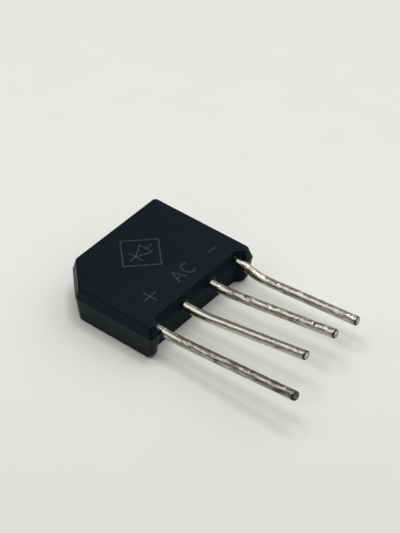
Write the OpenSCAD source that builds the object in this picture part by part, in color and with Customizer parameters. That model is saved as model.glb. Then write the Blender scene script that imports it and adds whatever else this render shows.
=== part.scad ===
// Single-in-line bridge rectifier: four silicon diode chips between tinned copper
// leads, moulded in one block of black epoxy with two stand-off feet.
// It lies on its back face, with the marked face up and the leads towards -Y.
// X runs along the row of leads, from the positive lead to the negative one.

/* [Body] */
// Width along the row of leads, at the parting line
body_w = 19.5; // [19:0.1:26]
// Length from the far edge to the tips of the feet, at the parting line
body_l = 15.9; // [14.5:0.1:24]
// Thickness from the back face to the marked face
body_t = 5.1; // [4.9:0.1:7]
// Height of the parting line above the back face
parting_z = 3.6; // [3.3:0.1:3.9]
// How far the marked face is set in from the parting line by the mould's draft
front_draft = 0.4; // [0.1:0.05:0.6]
// How far the back face is set in from the parting line by the mould's draft
back_draft = 0.42; // [0.1:0.02:0.7]
// Polarity cut across the corner beside the positive lead
corner_cut = 4; // [1:0.1:5]
// Radius of the edges round the marked face and the back face
edge_r = 0.2; // [0.05:0.05:0.4]

/* [Feet] */
// How far the feet stand out from the face that the leads leave
foot_out = 1; // [0.4:0.1:1.6]
// Width of a foot across its tip
foot_tip_w = 1.5; // [1:0.1:1.6]
// Run of a foot's sloping inner side, along the row of leads
foot_slope_w = 0.85; // [0.3:0.05:1]
// Radius of the edge where a foot meets the back face
foot_r = 1; // [0.3:0.1:1.5]

/* [Leads] */
// Pitch of the row of leads
lead_pitch = 5.08; // [4.8:0.02:5.2]
// Diameter of the lead wire
wire_d = 1.2; // [1:0.05:1.3]
// Radius of the two bends that step a lead to its pad, inside the body
step_r = 1.6; // [1.2:0.1:2]
// Length over which the wire is coined flat
coin_l = 1; // [0.6:0.1:1.4]
// Thickness of a coined pad
pad_t = 0.5; // [0.4:0.05:0.7]
// Width of a coined pad
pad_w = 2.6; // [2.4:0.1:3.2]
// Length of a coined pad
pad_l = 2.6; // [2.4:0.1:3.2]

/* [Positive lead outside the body] */
// Straight stretch before the bend
positive_root = 2; // [0.5:0.1:5]
// Angle of the bend
positive_bend = 5.6; // [1:0.1:15]
// Direction of the bend: 0 is towards the marked face, -90 towards the negative lead
positive_way = 3; // [-180:1:180]
// Radius of the bend
positive_bend_r = 28; // [10:1:40]
// Straight stretch from the bend to the tip
positive_tip = 15.8; // [8:0.1:25]

/* [First AC lead outside the body] */
// Straight stretch before the bend
ac_1_root = 1.5; // [0.5:0.1:5]
// Angle of the bend
ac_1_bend = 9; // [1:0.1:15]
// Direction of the bend
ac_1_way = -7; // [-180:1:180]
// Radius of the bend
ac_1_bend_r = 20; // [10:1:40]
// Straight stretch from the bend to the tip
ac_1_tip = 13.4; // [8:0.1:25]

/* [Second AC lead outside the body] */
// Straight stretch before the bend
ac_2_root = 1.8; // [0.5:0.1:5]
// Angle of the bend
ac_2_bend = 6.8; // [1:0.1:15]
// Direction of the bend
ac_2_way = -31; // [-180:1:180]
// Radius of the bend
ac_2_bend_r = 20; // [10:1:40]
// Straight stretch from the bend to the tip
ac_2_tip = 13.8; // [8:0.1:25]

/* [Negative lead outside the body] */
// Straight stretch before the first bend
negative_root = 0.3; // [0.2:0.1:3]
// Angle of the first bend, towards the back face
negative_dip = 18; // [1:0.5:20]
// Radius of the first bend
negative_dip_r = 5; // [3:0.5:20]
// Angle of the second bend, back towards the marked face
negative_lift = 22.5; // [1:0.5:30]
// Direction of the second bend
negative_way = -2; // [-180:1:180]
// Radius of the second bend
negative_lift_r = 8; // [4:0.5:20]
// Straight stretch from the second bend to the tip
negative_tip = 13; // [8:0.1:25]

/* [Chips and bars] */
// Height of the middle of the AC leads' pads above the back face
stack_z = 2.5; // [2.3:0.1:2.7]
// Distance of the chips from the face that the leads leave
chip_depth = 7.2; // [7:0.1:8]
// Side of a square diode chip
chip_w = 2.1; // [1.7:0.1:2.3]
// Side of a chip's raised mesa, on its lower face
mesa_w = 1.8; // [1.2:0.1:2]
// Thickness of a chip over its mesa
chip_t = 0.28; // [0.2:0.02:0.36]
// Height of the mesa
mesa_t = 0.08; // [0.04:0.02:0.12]
// Thickness of every solder joint
solder_t = 0.08; // [0.04:0.02:0.12]
// How far a solder joint stays inside the edges of what it joins
solder_inset = 0.1; // [0.05:0.05:0.3]
// Thickness of the copper bars
bar_t = 0.4; // [0.3:0.05:0.5]
// Width of the copper bars
bar_w = 2.4; // [2.3:0.1:3]
// How far a bar runs on past the middle of its last pad
bar_past = 1.1; // [1:0.05:1.25]

/* [Hidden] */
$fn = 48;

// Finishes
epoxy = "#1f2326";
tinned = "#b9bab4";
copper = "#b8734a";
silicon = "#5b5f68";
solder = "#9c9d9e";

// Steps in a rounded edge
edge_steps = 5;
// Overrun of a cut past the face that it opens
past = 1;
// How far a straight stretch of wire runs into the bends next to it
lap = 0.05;
// How much fuller the wire is at a bend
bend_swell = 0.01;
// Reach of a cut beyond the whole body
clear_of_body = body_w + body_l;

// The face that the leads leave, and the middle of the chips behind it
lead_face_y = -body_l / 2 + foot_out;
chip_y = lead_face_y + chip_depth;
// Where each lead stands in the row
positive_x = -1.5 * lead_pitch;
ac_1_x = -0.5 * lead_pitch;
ac_2_x = 0.5 * lead_pitch;
negative_x = 1.5 * lead_pitch;

// The stack, upwards and downwards from the AC leads' pads
pad_top_z = stack_z + pad_t / 2;
pad_foot_z = stack_z - pad_t / 2;
upper_chip_z = pad_top_z + solder_t;
upper_solder_z = upper_chip_z + chip_t;
positive_bar_z = upper_solder_z + solder_t;
lower_chip_z = pad_foot_z - solder_t - chip_t;
lower_solder_z = lower_chip_z - solder_t;
negative_bar_z = lower_solder_z - bar_t;
// The end leads' pads lie against their bars
positive_pad_z = positive_bar_z - solder_t - pad_t / 2;
negative_pad_z = negative_bar_z + bar_t + solder_t + pad_t / 2;

// The feet: direction of the sloping inner sides, and their distance from the middle
foot_root_x = body_w / 2 - foot_tip_w - foot_slope_w;
foot_slope_l = norm([foot_slope_w, foot_out]);
slope_turn = atan2(foot_out, foot_slope_w);
slope_reach = -(foot_root_x * foot_out + lead_face_y * foot_slope_w) / foot_slope_l;
// Distance of the cut corner from the middle
corner_reach = (body_w / 2 + body_l / 2 - corner_cut) / sqrt(2);

// Points of an arc about c, from angle a to angle b
function arc(c, r, a, b) =
  [for (i = [0 : edge_steps]) let (t = a + (b - a) * i / edge_steps) c + r * [cos(t), sin(t)]];

// Where a level face ends and its edge of radius r begins: distance from the line where
// the face would meet a wall that leans in by draft over height h
function tuck(r, draft, h) = r * (norm([h, draft]) - draft) / h;

// Everything outside one wall of the mould. The wall faces along direction turn, is
// reach from the middle at the parting line and leans in towards both faces.
module beyond(turn, reach, back_r = edge_r) {
  front_h = body_t - parting_z;
  front_lean = atan2(front_draft, front_h);
  back_lean = atan2(back_draft, parting_z);
  back_c = [reach - back_draft - tuck(back_r, back_draft, parting_z), back_r];
  front_c = [reach - front_draft - tuck(edge_r, front_draft, front_h), body_t - edge_r];
  outline = concat(
    [[back_c[0], -past]],
    arc(back_c, back_r, -90, -back_lean),
    [[reach, parting_z]],
    arc(front_c, edge_r, front_lean, 90),
    [[front_c[0], body_t + past], [clear_of_body, body_t + past], [clear_of_body, -past]]
  );
  rotate([0, 0, turn])
    translate([0, clear_of_body, 0])
      rotate([90, 0, 0])
        linear_extrude(height = 2 * clear_of_body)
          polygon(outline);
}

// The block as it leaves the mould, before anything is taken out for what it holds
module mould_shape() {
  difference() {
    linear_extrude(height = body_t)
      square([body_w + 2 * past, body_l + 2 * past], center = true);
    beyond(0, body_w / 2);
    beyond(90, body_l / 2);
    beyond(135, corner_reach);
    beyond(180, body_w / 2);
    beyond(270, body_l / 2, foot_r);
    intersection() {
      beyond(270, -lead_face_y);
      beyond(270 - slope_turn, slope_reach);
      beyond(270 + slope_turn, slope_reach);
    }
  }
}

// The moulded block, with the room that its contents fill
module moulded_body() {
  color(epoxy)
    difference() {
      mould_shape();
      lead_positive();
      lead_ac_1();
      lead_ac_2();
      lead_negative();
      positive_bar();
      negative_bar();
      chips_and_solder();
    }
}

// A bend in the wire, from +Z towards +X
module wire_bend(turn, r) {
  translate([r, 0, 0])
    rotate([90, 0, 180])
      rotate_extrude(angle = turn)
        translate([r, 0])
          circle(d = wire_d + bend_swell);
}

// Carries what follows to the far end of such a bend
module past_bend(turn, r) {
  translate([r, 0, 0])
    rotate([0, turn, 0])
      translate([-r, 0, 0])
        children();
}

// A round wire from the origin along +Z. Each row of bends holds the straight stretch
// before a bend, the bend's angle, its radius and its direction about the wire.
module bent_wire(bends, tip, i = 0) {
  if (i < len(bends)) {
    translate([0, 0, -lap])
      cylinder(h = bends[i][0] + 2 * lap, d = wire_d);
    translate([0, 0, bends[i][0]])
      rotate([0, 0, bends[i][3]]) {
        wire_bend(bends[i][1], bends[i][2]);
        past_bend(bends[i][1], bends[i][2])
          rotate([0, 0, -bends[i][3]])
            bent_wire(bends, tip, i + 1);
      }
  } else if (tip > 0) {
    translate([0, 0, -lap])
      cylinder(h = lap + tip, d = wire_d);
  }
}

// The end of a lead inside the body: the wire squashed on a ramp, then a flat pad.
// It runs along +Y, with its middle plane at z = 0.
module coined_pad() {
  neck_w = wire_d - pad_t;
  ramp_h = wire_d - pad_t / 2;
  intersection() {
    translate([0, -lap, 0])
      rotate([-90, 0, 0])
        cylinder(h = lap + coin_l, d = wire_d);
    rotate([90, 0, 90])
      linear_extrude(height = 2 * wire_d, center = true)
        polygon([[-coin_l, -ramp_h], [coin_l, -pad_t / 2], [coin_l, pad_t / 2], [-coin_l, ramp_h]]);
  }
  translate([0, 0, -pad_t / 2])
    linear_extrude(height = pad_t)
      polygon([
        [-neck_w / 2, 0], [neck_w / 2, 0],
        [pad_w / 2, coin_l], [pad_w / 2, coin_l + pad_l],
        [-pad_w / 2, coin_l + pad_l], [-pad_w / 2, coin_l]
      ]);
}

// One lead. It leaves the body on the parting line, and inside the body it steps
// towards the back face and ends in a pad at height pad_z.
module lead(x, pad_z, bends, tip) {
  turn = acos(1 - (parting_z - pad_z) / (2 * step_r));
  pad_y = chip_y - pad_l / 2 - coin_l;
  inner_run = pad_y - lead_face_y - 2 * step_r * sin(turn);
  color(tinned) {
    translate([x, lead_face_y, parting_z]) {
      rotate([0, -90, 0])
        rotate([90, 0, 0])
          bent_wire(bends, tip);
      rotate([0, 90, 0])
        rotate([-90, 0, 0])
          bent_wire([[inner_run, turn, step_r, 0], [0, turn, step_r, 180]], 0);
    }
    translate([x, pad_y, pad_z])
      coined_pad();
  }
}

module lead_positive() {
  lead(positive_x, positive_pad_z,
    [[positive_root, positive_bend, positive_bend_r, positive_way]], positive_tip);
}

module lead_ac_1() {
  lead(ac_1_x, stack_z, [[ac_1_root, ac_1_bend, ac_1_bend_r, ac_1_way]], ac_1_tip);
}

module lead_ac_2() {
  lead(ac_2_x, stack_z, [[ac_2_root, ac_2_bend, ac_2_bend_r, ac_2_way]], ac_2_tip);
}

module lead_negative() {
  lead(negative_x, negative_pad_z,
    [[negative_root, negative_dip, negative_dip_r, 180],
     [0, negative_lift, negative_lift_r, negative_way]], negative_tip);
}

// A flat strip of copper that lies across the pads or chips from x1 to x2
module bar(x1, x2, z) {
  color(copper)
    translate([x1 - bar_past, chip_y - bar_w / 2, z])
      cube([x2 - x1 + 2 * bar_past, bar_w, bar_t]);
}

module positive_bar() {
  bar(positive_x, ac_2_x, positive_bar_z);
}

module negative_bar() {
  bar(ac_1_x, negative_x, negative_bar_z);
}

// A square wafer in the stack, w wide, from height z up
module wafer(x, z, w, t) {
  translate([x - w / 2, chip_y - w / 2, z])
    cube([w, w, t]);
}

// A diode chip: its anode side is a mesa, etched back all round, and faces down
module diode_chip(x, z) {
  color(silicon) {
    wafer(x, z, mesa_w, mesa_t);
    wafer(x, z + mesa_t, chip_w, chip_t - mesa_t);
  }
}

// A solder joint on something w wide
module solder_joint(x, z, w) {
  color(solder)
    wafer(x, z, w - 2 * solder_inset, solder_t);
}

module diode_chip_1_upper() diode_chip(ac_1_x, upper_chip_z);
module diode_chip_1_lower() diode_chip(ac_1_x, lower_chip_z);
module diode_chip_2_upper() diode_chip(ac_2_x, upper_chip_z);
module diode_chip_2_lower() diode_chip(ac_2_x, lower_chip_z);

module solder_1_bar_upper() solder_joint(ac_1_x, upper_solder_z, chip_w);
module solder_1_pad_upper() solder_joint(ac_1_x, pad_top_z, mesa_w);
module solder_1_pad_lower() solder_joint(ac_1_x, pad_foot_z - solder_t, chip_w);
module solder_1_bar_lower() solder_joint(ac_1_x, lower_solder_z, mesa_w);
module solder_2_bar_upper() solder_joint(ac_2_x, upper_solder_z, chip_w);
module solder_2_pad_upper() solder_joint(ac_2_x, pad_top_z, mesa_w);
module solder_2_pad_lower() solder_joint(ac_2_x, pad_foot_z - solder_t, chip_w);
module solder_2_bar_lower() solder_joint(ac_2_x, lower_solder_z, mesa_w);

// The joints between the end leads' pads and the bars
end_joint_w = min(bar_w, pad_w, pad_l, 2 * bar_past);
module solder_positive() solder_joint(positive_x, positive_bar_z - solder_t, end_joint_w);
module solder_negative() solder_joint(negative_x, negative_bar_z + bar_t, end_joint_w);

module chips_and_solder() {
  diode_chip_1_upper();
  diode_chip_1_lower();
  diode_chip_2_upper();
  diode_chip_2_lower();
  solder_1_bar_upper();
  solder_1_pad_upper();
  solder_1_pad_lower();
  solder_1_bar_lower();
  solder_2_bar_upper();
  solder_2_pad_upper();
  solder_2_pad_lower();
  solder_2_bar_lower();
  solder_positive();
  solder_negative();
}

moulded_body();
lead_positive();
lead_ac_1();
lead_ac_2();
lead_negative();
positive_bar();
negative_bar();
diode_chip_1_upper();
diode_chip_1_lower();
diode_chip_2_upper();
diode_chip_2_lower();
solder_1_bar_upper();
solder_1_pad_upper();
solder_1_pad_lower();
solder_1_bar_lower();
solder_2_bar_upper();
solder_2_pad_upper();
solder_2_pad_lower();
solder_2_bar_lower();
solder_positive();
solder_negative();
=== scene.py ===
import math

import bpy
import numpy as np
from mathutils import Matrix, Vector


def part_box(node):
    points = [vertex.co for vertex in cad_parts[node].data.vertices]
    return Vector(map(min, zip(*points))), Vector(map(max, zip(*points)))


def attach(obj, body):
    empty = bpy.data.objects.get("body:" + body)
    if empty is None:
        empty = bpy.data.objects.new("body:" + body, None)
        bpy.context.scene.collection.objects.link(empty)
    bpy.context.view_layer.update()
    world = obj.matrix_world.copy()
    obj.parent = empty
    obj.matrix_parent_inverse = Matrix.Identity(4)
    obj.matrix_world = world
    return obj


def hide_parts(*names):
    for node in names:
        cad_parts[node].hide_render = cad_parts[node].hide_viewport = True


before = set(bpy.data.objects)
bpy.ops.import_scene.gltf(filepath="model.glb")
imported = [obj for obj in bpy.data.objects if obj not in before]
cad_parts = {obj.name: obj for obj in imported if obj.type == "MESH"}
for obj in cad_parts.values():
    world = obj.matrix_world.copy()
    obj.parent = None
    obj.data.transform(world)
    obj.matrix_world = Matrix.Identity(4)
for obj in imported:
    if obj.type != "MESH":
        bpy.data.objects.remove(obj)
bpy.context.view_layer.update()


# ---------------------------------------------------------------- Table, lamps and camera
# The rectifier lies on a sheet of white paper under a ring lamp, in a dim room with one
# lit wall. The ring gives each lead two soft shadows, the lit wall draws a broad
# shadow to the other side, and the dark side of the room shows as dark bands on the tin.

MM = 0.001


def hex_colour(code):
    """sRGB hex to linear RGBA: c / 12.92 below 0.04045, else ((c + 0.055) / 1.055) ** 2.4."""
    c = np.array([int(code[i : i + 2], 16) for i in (1, 3, 5)]) / 255
    linear = np.where(c <= 0.04045, c / 12.92, ((c + 0.055) / 1.055) ** 2.4)
    return (*linear.tolist(), 1.0)


def add(tree, kind, inputs=(), **settings):
    """Adds a node with its settings. inputs gives its sockets a value or another node's output."""
    made = tree.nodes.new("ShaderNode" + kind)
    for name, value in settings.items():
        setattr(made, name, value)
    for socket, value in dict(inputs).items():
        if isinstance(value, bpy.types.NodeSocket):
            tree.links.new(value, made.inputs[socket])
        else:
            made.inputs[socket].default_value = value
    return made


def finish(name, **constants):
    """A material with its Principled shader, its constants set on the sockets themselves."""
    material = bpy.data.materials.new(name)
    material.use_nodes = True
    tree = material.node_tree
    shader = tree.nodes["Principled BSDF"]
    for socket, value in constants.items():
        shader.inputs[socket.replace("_", " ")].default_value = value
    return material, tree, shader


# White uncoated paper: matt, very faintly warm and mottled by its fibres. Towards the near
# end of the sheet its colour is painted a shade darker, a painted shade for light that falls off.
paper, tree, shader = finish("white_uncoated_paper", Roughness=0.9)
place = add(tree, "TexCoord").outputs["Object"]
fibres = add(tree, "TexNoise", {"Vector": place, "Scale": 1 / (6 * MM), "Detail": 3.0})
tint = add(
    tree,
    "Mix",
    {"Factor": fibres.outputs["Fac"], "A": hex_colour("#e5e6e1"), "B": hex_colour("#e8e9e4")},
    data_type="RGBA",
)
# Painted shade: the paper's colour darkens by up to a tenth towards the near end of the sheet
far_way = (0.777, 0.63, 0.0)
along = add(tree, "VectorMath", {0: place, 1: far_way}, operation="DOT_PRODUCT")
painted_falloff_shade = add(
    tree,
    "MapRange",
    {"Value": along.outputs["Value"], "From Min": 5 * MM, "From Max": -45 * MM, "To Max": 0.1},
    interpolation_type="SMOOTHSTEP",
)
shaded = add(
    tree,
    "Mix",
    {"Factor": painted_falloff_shade.outputs["Result"], "A": tint.outputs["Result"], "B": hex_colour("#000000")},
    data_type="RGBA",
)
tree.links.new(shaded.outputs["Result"], shader.inputs["Base Color"])

table_reach = 1.5
corners = table_reach * np.array([[-1, -1, 0], [1, -1, 0], [1, 1, 0], [-1, 1, 0]])
table = bpy.data.meshes.new("table")
table.from_pydata(corners.tolist(), [], [[0, 1, 2, 3]])
table.materials.append(paper)
table = bpy.data.objects.new("table", table)
bpy.context.scene.collection.objects.link(table)

# The ring lamp, as a circle of soft lamps that look straight down.
ring_height = 0.36
ring_radius = 0.28 * ring_height
ring_middle = Vector((-0.01, 0.0, 0.0))
lamp_count = 16
lamp_size = 0.09 * ring_height
ring_light = 0.4
slant = math.cos(math.atan(ring_radius / ring_height))
ring_watts = ring_light * (math.pi * ring_height) ** 2 / slant**4
for i in range(lamp_count):
    turn = 2 * math.pi * i / lamp_count
    lamp = bpy.data.lights.new(f"ring_lamp_{i}", "AREA")
    lamp.shape = "DISK"
    lamp.size = lamp_size
    lamp.energy = ring_watts / lamp_count
    lamp = bpy.data.objects.new(f"ring_lamp_{i}", lamp)
    lamp.location = ring_middle + Vector(
        (ring_radius * math.cos(turn), ring_radius * math.sin(turn), ring_height)
    )
    bpy.context.scene.collection.objects.link(lamp)

# The room, by the direction that a ray looks to: dim all round, with a bright patch
# where the ceiling meets the far wall, and a lit wall on the +X side.
room = bpy.data.worlds.new("dim_room")
room.use_nodes = True
tree = room.node_tree
sight = add(tree, "TexCoord").outputs["Generated"]


def glow(direction, low, full, strength):
    """Light that rises to that strength as a ray's share of the direction passes from
    low to full."""
    share = add(tree, "VectorMath", {0: sight, 1: direction}, operation="DOT_PRODUCT")
    return add(
        tree,
        "MapRange",
        {"Value": share.outputs["Value"], "From Min": low, "From Max": full, "To Max": strength},
        interpolation_type="SMOOTHSTEP",
    ).outputs["Result"]


light = 0.2
for part in (
    glow((-0.35, 0.5, 0.79), 0.82, 0.99, 1.25),
    glow((0.686, -0.23, 0.69), 0.62, 0.9, 1.26),
):
    light = add(tree, "Math", {0: light, 1: part}, operation="MAXIMUM").outputs["Value"]
tree.links.new(light, tree.nodes["Background"].inputs["Strength"])
tree.nodes["Background"].inputs["Color"].default_value = hex_colour("#ffffff")
bpy.context.scene.world = room

camera = bpy.data.cameras.new("camera")
camera.sensor_fit = "HORIZONTAL"
camera.sensor_width = 36.0
camera.lens = 178.7
camera = bpy.data.objects.new("camera", camera)
camera.location = MM * Vector((-136.57, -118.04, 163.05))
gaze = MM * Vector((5.04, -3.22, 2.5)) - camera.location
camera.rotation_euler = gaze.to_track_quat("-Z", "Y").to_euler()
bpy.context.scene.collection.objects.link(camera)
bpy.context.scene.camera = camera
bpy.context.scene.view_settings.view_transform = "Standard"


# ---------------------------------------------------------------- Moulded body
# The body is one block of black, silica-filled epoxy, transfer-moulded round the leads.
# The mould parts level with the leads, and its two halves leave the walls with a draft
# towards both faces. Two feet keep the block off the circuit board.

body_low, body_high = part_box("moulded_body")
body_w = (body_high.x - body_low.x) / MM
body_l = (body_high.y - body_low.y) / MM
body_t = (body_high.z - body_low.z) / MM
parting_z = 3.6
front_draft = 0.4
back_draft = 0.42
corner_cut = 4.0
edge_r = 0.2
foot_out = 1.0
foot_tip_w = 1.5
foot_slope_w = 0.85
foot_r = 1.0
upright_r = 0.5
cut_r = 0.9
foot_side_r = 0.25
inner_r = 0.2
flash_out = 0.018
flash_h = 0.05
lead_face_y = -body_l / 2 + foot_out
lead_pitch = 5.08
wire_r = 0.6
collar_spread = 0.3
collar_l = 0.2
# How far a collar's thin end sinks into the wire, and its root into the wall
collar_sink = 0.015
collar_root = 0.4


def skin(name, shells, material):
    """A mesh of closed shells. A shell is an array (rows, points round, xyz) in mm, whose
    rows run anticlockwise round the way from the first row to the last. Four-sided faces
    join point j of row i to point j + 1 and to row i + 1, and a flat face closes each end."""
    points, faces, start = [], [], 0
    for rows in shells:
        count, around = rows.shape[:2]
        index = start + np.arange(count * around).reshape(count, around)
        beside = np.roll(index, -1, axis=1)
        quads = np.stack([index[:-1], beside[:-1], beside[1:], index[1:]], axis=-1)
        faces += quads.reshape(-1, 4).tolist() + [index[0, ::-1].tolist(), index[-1].tolist()]
        points.append(rows.reshape(-1, 3))
        start += count * around
    mesh = bpy.data.meshes.new(name)
    mesh.from_pydata((MM * np.concatenate(points)).tolist(), [], faces)
    mesh.polygons.foreach_set("use_smooth", [True] * len(mesh.polygons))
    mesh.materials.append(material)
    piece = bpy.data.objects.new(name, mesh)
    bpy.context.scene.collection.objects.link(piece)
    return piece


def wall_inset(z, back_r):
    """How far a wall stands in at height z: it leans in evenly from the parting line to
    each face, then turns over on an arc whose depth below the flat is r - sqrt(r^2 - h^2),
    h being the height that is left of the arc's radius. A hair of flash stands out at
    the parting line as exp(-(dz / flash_h)^2)."""
    front_h = body_t - parting_z
    inset = np.where(
        z < parting_z,
        back_draft * (parting_z - z) / parting_z,
        front_draft * (z - parting_z) / front_h,
    )
    tuck_back = (math.hypot(parting_z, back_draft) - back_draft) / parting_z
    tuck_front = (math.hypot(front_h, front_draft) - front_draft) / front_h
    h = np.clip(back_r - z, 0, back_r)
    arc = back_draft + back_r * tuck_back - np.sqrt(back_r**2 - h**2)
    inset = np.where(z < back_r * (1 - back_draft / parting_z), arc, inset)
    h = np.clip(z - body_t + edge_r, 0, edge_r)
    arc = front_draft + edge_r * tuck_front - np.sqrt(edge_r**2 - h**2)
    inset = np.where(z > body_t - edge_r * (1 - front_draft / front_h), arc, inset)
    return inset - flash_out * np.exp(-(((z - parting_z) / flash_h) ** 2))


def moulded_block():
    """The block as rings of points at rising heights. At each height a wall that faces
    direction a is the line x cos(a) + y sin(a) = reach - inset, and the corner between
    two walls is an arc of radius r about the point that lies r inside both lines. A
    corner that turns inwards takes a negative r. A point a hair to either side of each
    arc keeps the flat walls flat. The second array says how far round an outward corner
    each point is, as sin(pi share)."""
    slope_turn = math.degrees(math.atan2(foot_out, foot_slope_w))
    slope_l = math.hypot(foot_out, foot_slope_w)
    foot_root_x = body_w / 2 - foot_tip_w - foot_slope_w
    slope_reach = -(foot_root_x * foot_out + lead_face_y * foot_slope_w) / slope_l
    cut_reach = (body_w / 2 + body_l / 2 - corner_cut) / math.sqrt(2)
    walls = np.array(
        [
            # direction it faces, reach at the parting line, radius at the back face,
            # and radius of the upright corner that leads to the next wall
            [0, body_w / 2, edge_r, upright_r],
            [90, body_l / 2, edge_r, cut_r],
            [135, cut_reach, edge_r, cut_r],
            [180, body_w / 2, edge_r, upright_r],
            [270, body_l / 2, foot_r, foot_side_r],
            [270 + slope_turn, slope_reach, edge_r, -inner_r],
            [270, -lead_face_y, edge_r, -inner_r],
            [270 - slope_turn, slope_reach, edge_r, foot_side_r],
            [270, body_l / 2, foot_r, upright_r],
        ]
    )
    turn = np.linspace(0, math.pi / 2, 11)
    rise = 1 - np.cos(turn)
    hair = 0.02
    z = np.concatenate(
        [
            edge_r * rise,
            foot_r * rise,
            [edge_r + hair, foot_r + hair],
            parting_z + flash_h * np.linspace(-3, 3, 13),
            body_t - edge_r * rise,
            [body_t - edge_r - hair],
        ]
    )
    z = np.unique(np.round(z, 6))
    facing = np.radians(walls[:, 0])
    reach = walls[:, 1] - wall_inset(z[:, None], walls[:, 2])
    facing_next = np.roll(facing, -1)
    reach_next = np.roll(reach, -1, axis=1)
    swing = (facing_next - facing + math.pi) % (2 * math.pi) - math.pi
    r = walls[:, 3]
    # The arc's centre, from n1 . c = d1 - r and n2 . c = d2 - r
    d1, d2 = reach - r, reach_next - r
    cross = np.sin(swing)
    cx = (d1 * np.sin(facing_next) - d2 * np.sin(facing)) / cross
    cy = (d2 * np.cos(facing) - d1 * np.cos(facing_next)) / cross
    part = np.concatenate([[0], np.linspace(0, 1, 7), [1]])
    angle = facing + swing * part[:, None]
    aside = np.zeros(len(part))
    aside[0], aside[-1] = -hair, hair
    x = cx[:, None] + r * np.cos(angle) - aside[:, None] * np.sin(angle)
    y = cy[:, None] + r * np.sin(angle) + aside[:, None] * np.cos(angle)
    x = x.transpose(0, 2, 1).reshape(len(z), -1)
    y = y.transpose(0, 2, 1).reshape(len(z), -1)
    bend = np.where(r[:, None] > 0, np.sin(math.pi * part), 0).ravel()
    rings = np.stack([x, y, np.broadcast_to(z[:, None], x.shape)], axis=-1)
    return rings, np.broadcast_to(bend, x.shape).ravel()


def resin_collar(x, seed):
    """The resin that crept out along the lead at x, as rings from inside the wall. At the
    share d of its length the radius is wire_r - sink + spread (1 - d)^2, and spread
    swells and shrinks round the wire by a sum of two sines."""
    rng = np.random.default_rng(seed)
    turn = np.linspace(0, 2 * math.pi, 40, endpoint=False)
    one_lobe = 0.3 * np.sin(turn + rng.uniform(0, 6))
    two_lobes = 0.25 * np.sin(2 * turn + rng.uniform(0, 6))
    spread = 1 + one_lobe + two_lobes
    d = np.concatenate([[0], np.linspace(0, 1, 9)])[:, None]
    r = wire_r - collar_sink + collar_spread * spread * (1 - d) ** 2
    y = lead_face_y - collar_l * d
    y[0] += collar_root
    rings = [x + r * np.cos(turn), np.broadcast_to(y, r.shape), parting_z + r * np.sin(turn)]
    return np.stack(rings, axis=-1)


# Black epoxy moulding compound from a spark-eroded mould: a blue-black resin full of
# ground silica, satin with a fine even grain, and faintly clouded where it flowed. Its
# edges and corners are rubbed smooth and glossier, their colour painted darker as a painted
# dark reflection, and the face between the feet is rougher.
epoxy, tree, shader = finish(
    "moulded_black_epoxy", IOR=1.25, Specular_Tint=hex_colour("#d2ecf8")
)
place = add(tree, "TexCoord").outputs["Object"]
clouds = add(tree, "TexNoise", {"Vector": place, "Scale": 1 / (2.6 * MM), "Detail": 4.0})
cloud = add(tree, "MapRange", {"Value": clouds.outputs["Fac"], "From Min": 0.3, "From Max": 0.7})
resin = add(
    tree,
    "Mix",
    {"Factor": cloud.outputs["Result"], "A": hex_colour("#030a10"), "B": hex_colour("#070e15")},
    data_type="RGBA",
)
silica = add(tree, "TexNoise", {"Vector": place, "Scale": 1 / (0.22 * MM), "Detail": 1.0})
speck = add(
    tree,
    "MapRange",
    {"Value": silica.outputs["Fac"], "From Min": 0.66, "From Max": 0.8, "To Max": 0.35},
)
filled = add(
    tree,
    "Mix",
    {
        "Factor": speck.outputs["Result"],
        "A": resin.outputs["Result"],
        "B": hex_colour("#1b2124"),
    },
    data_type="RGBA",
)
# Painted shade: worn edges, corners and collar tops get a darker colour, a painted dark reflection
worn_and_painted_dark = add(tree, "Attribute", attribute_name="worn_and_painted_dark")
painted_dark_edges = add(
    tree,
    "Mix",
    {"Factor": worn_and_painted_dark.outputs["Fac"], "A": filled.outputs["Result"], "B": hex_colour("#010203")},
    data_type="RGBA",
)
tree.links.new(painted_dark_edges.outputs["Result"], shader.inputs["Base Color"])
sheen = add(
    tree,
    "MapRange",
    {
        "Value": clouds.outputs["Fac"],
        "From Min": 0.3,
        "From Max": 0.7,
        "To Min": 0.42,
        "To Max": 0.5,
    },
)
polish = add(
    tree, "Mix", {"Factor": worn_and_painted_dark.outputs["Fac"], "A": sheen.outputs["Result"], "B": 0.08}
)
recessed = add(tree, "Attribute", attribute_name="recess")
texture = add(
    tree, "Mix", {"Factor": recessed.outputs["Fac"], "A": polish.outputs["Result"], "B": 0.7}
)
tree.links.new(texture.outputs["Result"], shader.inputs["Roughness"])
grain = add(tree, "TexNoise", {"Vector": place, "Scale": 1 / (0.16 * MM), "Detail": 2.0})
relief = add(
    tree, "Bump", {"Height": grain.outputs["Fac"], "Strength": 0.35, "Distance": 0.02 * MM}
)
tree.links.new(relief.outputs["Normal"], shader.inputs["Normal"])

block, bend = moulded_block()
collars = [resin_collar((i - 1.5) * lead_pitch, i) for i in range(4)]
body = skin("body", [block, *collars], epoxy)

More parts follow.
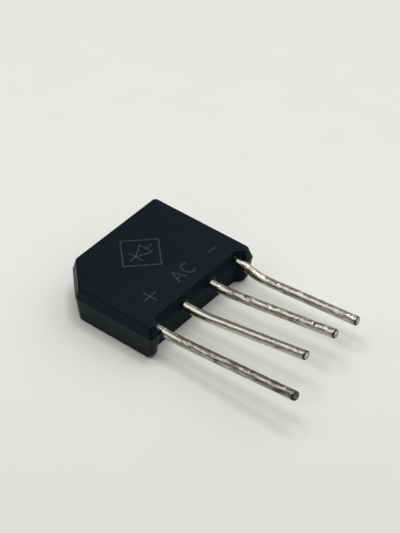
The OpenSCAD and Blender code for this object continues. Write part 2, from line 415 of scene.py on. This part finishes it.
# How worn smooth a point is, whose colour is also painted darker there as a painted
# dark reflection, and how much it shares the recessed face's rougher grain. The block's
# points come first, and the collars are smooth, and painted darker, above their lead only.
x, y, z = np.concatenate([block.reshape(-1, 3), *(ring.reshape(-1, 3) for ring in collars)]).T
block_end = bend.size
along_edge = np.clip((z - body_t + edge_r) / edge_r, 0, 1) + np.clip((edge_r - z) / edge_r, 0, 1)
worn_and_painted_dark = np.sin(2 * np.arcsin(np.clip(along_edge, 0, 1)))
worn_and_painted_dark[:block_end] = np.maximum(worn_and_painted_dark[:block_end], bend * (1 - along_edge[:block_end]))
foot_inner_x = body_w / 2 - foot_tip_w - foot_slope_w / 2
recess = ((np.abs(x) < foot_inner_x) & (y < 0) & (along_edge < 0.01)).astype(float)
above_lead = np.clip((z[block_end:] - parting_z) / wire_r, 0, 1)
worn_and_painted_dark[block_end:] = above_lead
recess[block_end:] = 1 - above_lead
for name, amount in (("worn_and_painted_dark", worn_and_painted_dark), ("recess", recess)):
    body.data.attributes.new(name, "FLOAT", "POINT").data.foreach_set("value", amount)
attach(body, "root")
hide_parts("moulded_body")


# ---------------------------------------------------------------- Terminal marks
# A laser burns the marks into the marked face: thin lines where the resin has turned
# a dull, powdery grey. There is a plus, AC and a minus over the leads, and above them
# the usual sign for a bridge rectifier, a diamond with a diode in it.

line_w = 0.2
line_h = 0.012


def burnt_line(points):
    """A line burnt along the points, as a low ridge with round ends: an ellipse line_w wide
    and line_h high across the line, whose width at distance e from an end, within half
    the width, falls as sqrt(1 - (1 - 2 e / line_w)^2)."""
    path = np.asarray(points, float)
    ahead = np.gradient(path, axis=0)
    ahead /= np.linalg.norm(ahead, axis=1, keepdims=True)
    short = np.sin(np.linspace(0.06, math.pi / 2, 5))
    taper = np.concatenate([short, np.ones(len(path) - 2), short[::-1]])
    run_on = np.cos(np.linspace(0.06, math.pi / 2, 5)) * line_w / 2
    start = path[0] - run_on[:, None] * ahead[0]
    end = path[-1] + run_on[::-1, None] * ahead[-1]
    centre = np.concatenate([start, path[1:-1], end])
    along = np.concatenate([np.repeat(ahead[:1], 5, 0), ahead[1:-1], np.repeat(ahead[-1:], 5, 0)])
    turn = np.linspace(0, 2 * math.pi, 12, endpoint=False)
    aside = taper[:, None] * np.cos(turn) * line_w / 2
    x = centre[:, :1] - along[:, 1:] * aside
    y = centre[:, 1:] + along[:, :1] * aside
    z = body_t + taper[:, None] * np.sin(turn) * line_h
    return np.stack([x, y, z], axis=-1)


def straight(x1, y1, x2, y2):
    """A straight burnt line from point 1 to point 2."""
    part = np.linspace(0, 1, 4)[:, None]
    return burnt_line((1 - part) * [x1, y1] + part * [x2, y2])


def bow(x, y, half_w, half_h, from_deg, to_deg):
    """A burnt line along an ellipse about (x, y)."""
    turn = np.radians(np.linspace(from_deg, to_deg, 40))
    return burnt_line(np.stack([x + half_w * np.cos(turn), y + half_h * np.sin(turn)], axis=1))


# Laser-burnt epoxy: bared silica and char, grey and quite without gloss, broken up by
# the pulses of the beam, and burnt less deep towards the minus.
burnt, tree, shader = finish("laser_burnt_epoxy", Roughness=0.9, IOR=1.45)
place = add(tree, "TexCoord").outputs["Object"]
pulses = add(tree, "TexNoise", {"Vector": place, "Scale": 1 / (0.3 * MM), "Detail": 2.0})
burn = add(tree, "MapRange", {"Value": pulses.outputs["Fac"], "From Min": 0.35, "From Max": 0.7})
char = add(
    tree,
    "Mix",
    {"Factor": burn.outputs["Result"], "A": hex_colour("#1f2323"), "B": hex_colour("#474b4a")},
    data_type="RGBA",
)
across = add(tree, "SeparateXYZ", {"Vector": place}).outputs["X"]
weak = add(
    tree, "MapRange", {"Value": across, "From Min": -5 * MM, "From Max": 6 * MM, "To Max": 0.45}
)
burnt_in = add(
    tree,
    "Mix",
    {"Factor": weak.outputs["Result"], "A": char.outputs["Result"], "B": hex_colour("#0f1518")},
    data_type="RGBA",
)
tree.links.new(burnt_in.outputs["Result"], shader.inputs["Base Color"])
relief = add(
    tree, "Bump", {"Height": pulses.outputs["Fac"], "Strength": 0.5, "Distance": 0.01 * MM}
)
tree.links.new(relief.outputs["Normal"], shader.inputs["Normal"])

plus_x, plus_y, plus_arm = -5.15, -3.85, 0.95
mark_plus = skin(
    "mark_plus",
    [
        straight(plus_x - plus_arm, plus_y, plus_x + plus_arm, plus_y),
        straight(plus_x, plus_y - plus_arm, plus_x, plus_y + plus_arm),
    ],
    burnt,
)
letter_y, letter_h = -5.0, 1.85
letter_a_x, letter_a_w = -0.25, 1.35
letter_c_x, letter_c_w = 1.65, 1.4
bar_up = 0.35
mark_ac = skin(
    "mark_ac",
    [
        straight(letter_a_x - letter_a_w / 2, letter_y, letter_a_x, letter_y + letter_h),
        straight(letter_a_x, letter_y + letter_h, letter_a_x + letter_a_w / 2, letter_y),
        straight(
            letter_a_x - letter_a_w / 2 * (1 - bar_up),
            letter_y + bar_up * letter_h,
            letter_a_x + letter_a_w / 2 * (1 - bar_up),
            letter_y + bar_up * letter_h,
        ),
        bow(letter_c_x, letter_y + letter_h / 2, letter_c_w / 2, letter_h / 2, 48, 312),
    ],
    burnt,
)
minus_x, minus_y, minus_w = 6.1, -4.25, 1.3
mark_minus = skin(
    "mark_minus",
    [straight(minus_x - minus_w / 2, minus_y, minus_x + minus_w / 2, minus_y)],
    burnt,
)
sign_x, sign_y, sign_r, arrow_r, stem = 0.2, 2.1, 3.3, 1.0, 1.0
mark_bridge = skin(
    "mark_bridge",
    [
        straight(sign_x - sign_r, sign_y, sign_x, sign_y + sign_r),
        straight(sign_x, sign_y + sign_r, sign_x + sign_r, sign_y),
        straight(sign_x + sign_r, sign_y, sign_x, sign_y - sign_r),
        straight(sign_x, sign_y - sign_r, sign_x - sign_r, sign_y),
        # The diode points at the positive side
        straight(sign_x - arrow_r, sign_y, sign_x + arrow_r, sign_y + arrow_r),
        straight(sign_x - arrow_r, sign_y, sign_x + arrow_r, sign_y - arrow_r),
        straight(sign_x + arrow_r, sign_y - arrow_r, sign_x + arrow_r, sign_y + arrow_r),
        straight(sign_x - arrow_r, sign_y - arrow_r, sign_x - arrow_r, sign_y + arrow_r),
        straight(sign_x - arrow_r - stem, sign_y, sign_x - arrow_r, sign_y),
        straight(sign_x + arrow_r, sign_y, sign_x + arrow_r + stem, sign_y),
    ],
    burnt,
)
for mark in (mark_plus, mark_ac, mark_minus, mark_bridge):
    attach(mark, "root")


# ---------------------------------------------------------------- Leads
# Four round copper wires, hot-dipped in tin and cropped to length. Inside the body each
# steps towards the back face and is coined flat into a pad. Handling has bent them a
# little, and left a nick in the soft tin of one.

step_r = 1.6
coin_l = 1.0
pad_t = 0.5
pad_w = 2.6
pad_l = 2.6
# How much darker an underside is painted, a painted shade in the brown film's colour
underside_shade = 0.5
# Spacing of a wire's rings on its centre line, and the points on each ring
wire_step = 0.08
wire_points = 56


def centre_line(point, ahead, up, stretches):
    """A centre line as it is bent, and the frame along it. A stretch is (length, radius,
    direction), straight where the radius is 0. On a bend of radius r towards unit vector
    b, the point at angle a is point + r sin(a) ahead + r (1 - cos(a)) b, and the frame
    turns by a about ahead x b."""
    points, heads, ups = [], [], []
    for length, radius, way in stretches:
        s = np.linspace(0, length, max(2, math.ceil(length / wire_step) + 1))[:, None]
        if radius:
            side = np.cross(ahead, up)
            b = up * math.cos(math.radians(way)) + side * math.sin(math.radians(way))
            axis = np.cross(ahead, b)
            a = s / radius
            p = point + radius * (np.sin(a) * ahead + (1 - np.cos(a)) * b)
            h = np.cos(a) * ahead + np.sin(a) * b
            u = (up @ b) * (np.cos(a) * b - np.sin(a) * ahead) + (up @ axis) * axis
        else:
            p = point + s * ahead
            h = np.broadcast_to(ahead, p.shape)
            u = np.broadcast_to(up, p.shape)
        points.append(p[1:])
        heads.append(h[1:])
        ups.append(u[1:])
        point, ahead, up = p[-1], h[-1], u[-1]
    return np.concatenate(points), np.concatenate(heads), np.concatenate(ups)


def tinned_wire(node, place_in_row, stretches, seed, lumps, dross, dull, tilt, end_film, nick=None):
    """One lead, as rings square to its centre line. A ring is the superellipse
    |x / a|^n + |z / b|^n = 1: round wire has a = b = wire_r and n = 2, and the pad has
    half its width and thickness and n = 8, with an even change over the coined length.
    Sums of sines in s and in the angle, with amplitudes of a few hundredths, thicken
    and thin the tin, and a nick takes away depth * exp(-(ds / wide)^2 - (da / broad)^2).
    The end face leans along the wire by tilt times the distance across and up. dross and
    dull are lists of (distance from the body, amount), and end_film dulls the end face."""
    low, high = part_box(node)
    x = (place_in_row - 1.5) * lead_pitch
    pad_z = low.z / MM + pad_t / 2
    pad_end = high.y / MM
    face = np.array([x, lead_face_y, parting_z])
    step_turn = math.acos(1 - (parting_z - pad_z) / (2 * step_r))
    step_run = 2 * step_r * math.sin(step_turn)
    inner_run = pad_end - pad_l - coin_l - lead_face_y - step_run
    up = np.array([0.0, 0.0, 1.0])
    inner = centre_line(
        face,
        np.array([0.0, 1.0, 0.0]),
        up,
        [
            (inner_run, 0, 0),
            (step_r * step_turn, step_r, 180),
            (step_r * step_turn, step_r, 0),
            (coin_l, 0, 0),
            (pad_l, 0, 0),
        ],
    )
    outer = centre_line(face, np.array([0.0, -1.0, 0.0]), up, stretches)
    p = np.concatenate([inner[0][::-1], face[None], outer[0]])
    h = np.concatenate([-inner[1][::-1], [[0.0, -1.0, 0.0]], outer[1]])
    u = np.concatenate([inner[2][::-1], up[None], outer[2]])
    s = np.concatenate([[0], np.cumsum(np.linalg.norm(np.diff(p, axis=0), axis=1))])
    s -= s[len(inner[0])]

    # The cropped end: the tin rolls over a soiled rim, and the face is all but flat
    rim = np.array([1.0, 0.995, 0.98, 0.955, 0.92, 0.87, 0.81, 0.74, 0.55, 0.25, 0.04])
    back = np.array([0.34, 0.22, 0.13, 0.075, 0.035, 0.01, 0.0, 0.004, 0.01, 0.014, 0.015])
    rim_soil = np.array([0.1, 0.5, 0.8, 0.95, 1.0, 1.0, 1.0, 0.7, 0.1, 0, 0])
    rim_soil[-4:] = np.maximum(rim_soil[-4:], end_film)
    keep = s < s[-1] - back[0] - 0.02
    end_p = p[-1] - back[:, None] * h[-1]
    p = np.concatenate([p[keep], end_p])
    h = np.concatenate([h[keep], np.repeat(h[-1:], len(rim), 0)])
    u = np.concatenate([u[keep], np.repeat(u[-1:], len(rim), 0)])
    s = np.concatenate([s[keep], s[-1] - back])[:, None]
    shrink = np.concatenate([np.ones(keep.sum()), rim])[:, None]
    soil = np.concatenate([np.zeros(keep.sum()), rim_soil])[:, None]
    lump = np.interp(s[:, 0], *zip(*dross))[:, None]

    t = np.linspace(0, 2 * math.pi, wire_points, endpoint=False)
    coined = np.clip((lead_face_y - pad_end + pad_l + coin_l - s) / coin_l, 0, 1)
    coined = coined * coined * (3 - 2 * coined)
    a = wire_r + coined * (pad_w / 2 - wire_r)
    b = wire_r + coined * (pad_t / 2 - wire_r)
    n = 2 + 6 * coined
    rng = np.random.default_rng(seed)
    swell = np.zeros((len(s), len(t)))
    for size, wave in ((0.012, 5.0), (0.012, 2.6), (0.009, 1.3), (0.006, 0.7), (0.004, 0.4)):
        for lobes in (0, 1, 2, 3):
            phase, stray, drift = rng.uniform(0, 2 * math.pi, 3)
            pace = 2 * math.pi / (wave * rng.uniform(0.8, 1.25))
            swell += (
                size
                * 0.5
                * np.sin(pace * s + phase + 0.8 * np.sin(0.37 * pace * s + drift))
                * np.cos(lobes * t + stray)
            )
    # The tin is smooth where the wire leaves the body, and lumpy further out
    bare = np.clip((s - 0.3) / 0.8, 0, 1)
    radius = 1 + lumps * bare * swell / wire_r
    if nick:
        from_tip, clock, depth, wide, broad = nick
        da = (t - math.radians(clock) + math.pi) % (2 * math.pi) - math.pi
        ds = s - (s.max() - from_tip)
        cut = np.exp(-((ds / wide) ** 2) - (da / broad) ** 2)
        radius = radius - depth / wire_r * cut
        stain = np.exp(-((ds / wide / 1.5) ** 4) - (da / broad / 1.2) ** 4)
        soil = np.maximum(soil, stain)
    radius = radius * shrink
    across = radius * a * np.sign(np.cos(t)) * np.abs(np.cos(t)) ** (2 / n)
    upward = radius * b * np.sign(np.sin(t)) * np.abs(np.sin(t)) ** (2 / n)
    side = np.cross(u, h)
    rings = p[:, None] + across[..., None] * side[:, None] + upward[..., None] * u[:, None]
    slope = np.clip(1 - (s.max() - s) / 0.5, 0, 1) * (tilt[0] * across + tilt[1] * upward)
    rings = rings + slope[..., None] * h[:, None]
    piece = skin(node + "_wire", [rings], tin)
    amount = piece.data.attributes.new("dross", "FLOAT", "POINT")
    amount.data.foreach_set("value", np.repeat(lump, len(t)))
    # Painted shade: the undersides are darkened with the brown film's colour
    painted_underside = np.clip((0.8 - np.sin(t)) / 0.45, 0, 1)
    painted_underside = underside_shade * painted_underside * np.minimum(lump, 1)
    film_and_underside_shade = 1 - (1 - np.interp(s, *zip(*dull))) * (1 - painted_underside)
    amount = piece.data.attributes.new("tarnish", "FLOAT", "POINT")
    amount.data.foreach_set("value", film_and_underside_shade.ravel())
    amount = piece.data.attributes.new("soil", "FLOAT", "POINT")
    amount.data.foreach_set("value", np.broadcast_to(soil, radius.shape).ravel())
    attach(piece, "root")
    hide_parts(node)
    return piece


# Hot-dipped tin on copper wire: a bright, slightly warm white metal that froze with
# streaks and pits along the wire, here rougher and there smoother. A brown film has
# settled in the pits, along the positive lead and where the negative lead bends, and
# dark soil on the cropped rims and in the nick. The undersides are painted darker with
# the same brown, a painted shade.
tin, tree, shader = finish("hot_dipped_tin", Metallic=1.0)
place = add(tree, "TexCoord").outputs["Object"]
patches = add(tree, "TexNoise", {"Vector": place, "Scale": 1 / (1.6 * MM), "Detail": 2.0})
drawn = add(tree, "Mapping", {"Vector": place, "Scale": (1.0, 0.16, 1.0)}).outputs["Vector"]
streaks = add(
    tree,
    "TexNoise",
    {"Vector": drawn, "Scale": 1 / (0.3 * MM), "Detail": 3.0, "Roughness": 0.55},
)
short = add(tree, "Mapping", {"Vector": place, "Scale": (1.0, 0.45, 1.0)}).outputs["Vector"]
pits = add(tree, "TexNoise", {"Vector": short, "Scale": 1 / (0.2 * MM), "Detail": 1.0})
pitted = add(
    tree,
    "MapRange",
    {"Value": pits.outputs["Fac"], "From Min": 0.55, "From Max": 0.75, "To Max": 1.0},
    interpolation_type="SMOOTHSTEP",
)
coarse = add(
    tree,
    "MapRange",
    {
        "Value": patches.outputs["Fac"],
        "From Min": 0.38,
        "From Max": 0.6,
        "To Min": 0.3,
        "To Max": 1.3,
    },
)
dross = add(tree, "Attribute", attribute_name="dross")
rugged = add(
    tree,
    "Math",
    {0: coarse.outputs["Result"], 1: dross.outputs["Fac"]},
    operation="MULTIPLY",
).outputs["Value"]
bright = add(
    tree,
    "Mix",
    {"Factor": patches.outputs["Fac"], "A": hex_colour("#dedbcf"), "B": hex_colour("#c6c2b3")},
    data_type="RGBA",
)
scuff = add(
    tree,
    "MapRange",
    {
        "Value": streaks.outputs["Fac"],
        "From Min": 0.38,
        "From Max": 0.66,
        "To Min": 0.45,
        "To Max": 1.4,
    },
)
# The tarnish attribute holds the brown film and the painted shade on the undersides
tarnish = add(tree, "Attribute", attribute_name="tarnish")
film_and_underside_shade = add(
    tree,
    "Math",
    {0: tarnish.outputs["Fac"], 1: scuff.outputs["Result"]},
    operation="MULTIPLY",
)
held = add(
    tree, "Math", {0: pitted.outputs["Result"], 1: rugged}, operation="MULTIPLY"
).outputs["Value"]
grime_and_shade = add(
    tree,
    "Math",
    {0: held, 1: 0.6, 2: film_and_underside_shade.outputs["Value"]},
    operation="MULTIPLY_ADD",
    use_clamp=True,
)
tarnished_and_shaded = add(
    tree,
    "Mix",
    {"Factor": grime_and_shade.outputs["Value"], "A": bright.outputs["Result"], "B": hex_colour("#4b463b")},
    data_type="RGBA",
)
soil = add(tree, "Attribute", attribute_name="soil")
soiled = add(
    tree,
    "Mix",
    {
        "Factor": soil.outputs["Fac"],
        "A": tarnished_and_shaded.outputs["Result"],
        "B": hex_colour("#28251f"),
    },
    data_type="RGBA",
)
tree.links.new(soiled.outputs["Result"], shader.inputs["Base Color"])
rough = add(
    tree,
    "MapRange",
    {
        "Value": streaks.outputs["Fac"],
        "From Min": 0.3,
        "From Max": 0.7,
        "To Min": 0.1,
        "To Max": 0.22,
    },
)
tree.links.new(rough.outputs["Result"], shader.inputs["Roughness"])
swells = add(tree, "Math", {0: streaks.outputs["Fac"], 1: rugged}, operation="MULTIPLY")
height = add(
    tree,
    "Math",
    {0: held, 1: -0.2, 2: swells.outputs["Value"]},
    operation="MULTIPLY_ADD",
)
relief = add(
    tree, "Bump", {"Height": height.outputs["Value"], "Strength": 1.0, "Distance": 0.11 * MM}
)
tree.links.new(relief.outputs["Normal"], shader.inputs["Normal"])

tinned_wire(
    "lead_positive",
    0,
    [(2.0, 0, 0), (math.radians(5.6) * 28, 28, 3), (15.8, 0, 0)],
    seed=3,
    lumps=0.6,
    dross=[(1.5, 0.2), (4, 1.0), (8, 0.7), (20, 0.8)],
    dull=[(1, 0.0), (4, 0.45), (9, 0.45), (13, 0.62)],
    tilt=(0.1, -0.1),
    end_film=0.6,
)
tinned_wire(
    "lead_ac_1",
    1,
    [(1.5, 0, 0), (math.radians(9) * 20, 20, -7), (13.4, 0, 0)],
    seed=11,
    lumps=0.3,
    dross=[(3, 0.15), (7, 0.35), (12, 0.4), (14, 0.9), (18, 0.6)],
    dull=[(9, 0.0), (16, 0.12)],
    tilt=(0.05, 0.1),
    end_film=0.0,
)
tinned_wire(
    "lead_ac_2",
    2,
    [(1.8, 0, 0), (math.radians(6.8) * 20, 20, -31), (13.8, 0, 0)],
    seed=7,
    lumps=1.0,
    dross=[(1, 0.1), (3, 0.8), (7, 1.15), (12, 1.05), (15, 0.5)],
    dull=[(1, 0.15), (14, 0.1)],
    tilt=(0.0, -0.06),
    end_film=0.15,
    # Distance from the tip, angle round the wire, depth, and half width along and round
    nick=(2.9, 85, 0.18, 0.11, 0.85),
)
tinned_wire(
    "lead_negative",
    3,
    [
        (0.3, 0, 0),
        (math.radians(18) * 5, 5, 180),
        (math.radians(22.5) * 8, 8, -2),
        (13.0, 0, 0),
    ],
    seed=19,
    lumps=0.6,
    dross=[(2, 0.3), (6, 0.9), (16, 0.9)],
    dull=[(0.3, 0.3), (1.2, 0.65), (2.8, 0.6), (4.5, 0.12), (14, 0.15)],
    tilt=(-0.08, 0.04),
    end_film=0.1,
)


# ---------------------------------------------------------------- Bars
# Two flat copper bars inside the body collect the chips' currents: the upper one for
# the positive lead, the lower one for the negative. They are blanked from sheet.

# Bare copper sheet: warm red, rolled, and dulled brown by the heat of soldering.
copper, tree, shader = finish("rolled_bare_copper", Metallic=1.0)
place = add(tree, "TexCoord").outputs["Object"]
rolled = add(tree, "Mapping", {"Vector": place, "Scale": (0.1, 1.0, 1.0)})
lines = add(
    tree,
    "TexNoise",
    {"Vector": rolled.outputs["Vector"], "Scale": 1 / (0.15 * MM), "Detail": 3.0},
)
stain = add(tree, "TexNoise", {"Vector": place, "Scale": 1 / (1.5 * MM), "Detail": 3.0})
heat = add(tree, "MapRange", {"Value": stain.outputs["Fac"], "From Min": 0.35, "From Max": 0.7})
tarnish = add(
    tree,
    "Mix",
    {"Factor": heat.outputs["Result"], "A": hex_colour("#c9835a"), "B": hex_colour("#8f5638")},
    data_type="RGBA",
)
tree.links.new(tarnish.outputs["Result"], shader.inputs["Base Color"])
rough = add(tree, "MapRange", {"Value": lines.outputs["Fac"], "To Min": 0.25, "To Max": 0.5})
tree.links.new(rough.outputs["Result"], shader.inputs["Roughness"])
relief = add(
    tree, "Bump", {"Height": lines.outputs["Fac"], "Strength": 0.3, "Distance": 0.01 * MM}
)
tree.links.new(relief.outputs["Normal"], shader.inputs["Normal"])


def give(material, nodes):
    """The CAD nodes that stay as they are take one material."""
    for name in nodes:
        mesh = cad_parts[name].data
        mesh.materials.clear()
        mesh.materials.append(material)


give(copper, ["positive_bar", "negative_bar"])


# ---------------------------------------------------------------- Diode chips
# Four square silicon chips, one between each bar and each AC pad. A moat is etched
# round the anode side of each, which leaves a raised mesa.

# Silicon with nickelled faces: dark grey with a cold blue cast and a satin polish.
silicon, tree, shader = finish("nickelled_silicon", Metallic=0.9)
place = add(tree, "TexCoord").outputs["Object"]
etched = add(tree, "TexNoise", {"Vector": place, "Scale": 1 / (0.2 * MM), "Detail": 3.0})
wafer = add(
    tree,
    "Mix",
    {"Factor": etched.outputs["Fac"], "A": hex_colour("#4f535d"), "B": hex_colour("#6c707a")},
    data_type="RGBA",
)
tree.links.new(wafer.outputs["Result"], shader.inputs["Base Color"])
rough = add(tree, "MapRange", {"Value": etched.outputs["Fac"], "To Min": 0.2, "To Max": 0.4})
tree.links.new(rough.outputs["Result"], shader.inputs["Roughness"])

give(silicon, [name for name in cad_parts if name.startswith("diode_chip")])


# ---------------------------------------------------------------- Solder joints
# Thin soldered joints hold the chips between the pads and the bars, and the end leads'
# pads against their bars. The solder is mostly lead, which stands the heat of moulding.

# High-lead solder: a soft grey, dull and frosted where it froze in small crystals.
solder, tree, shader = finish("high_lead_solder", Metallic=1.0)
place = add(tree, "TexCoord").outputs["Object"]
frost = add(tree, "TexVoronoi", {"Vector": place, "Scale": 1 / (0.25 * MM)})
crystal = add(
    tree,
    "Mix",
    {"Factor": frost.outputs["Distance"], "A": hex_colour("#a9aaab"), "B": hex_colour("#85878a")},
    data_type="RGBA",
)
tree.links.new(crystal.outputs["Result"], shader.inputs["Base Color"])
rough = add(tree, "MapRange", {"Value": frost.outputs["Distance"], "To Min": 0.4, "To Max": 0.6})
tree.links.new(rough.outputs["Result"], shader.inputs["Roughness"])
relief = add(
    tree, "Bump", {"Height": frost.outputs["Distance"], "Strength": 0.4, "Distance": 0.02 * MM}
)
tree.links.new(relief.outputs["Normal"], shader.inputs["Normal"])

give(solder, [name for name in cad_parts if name.startswith("solder_")])
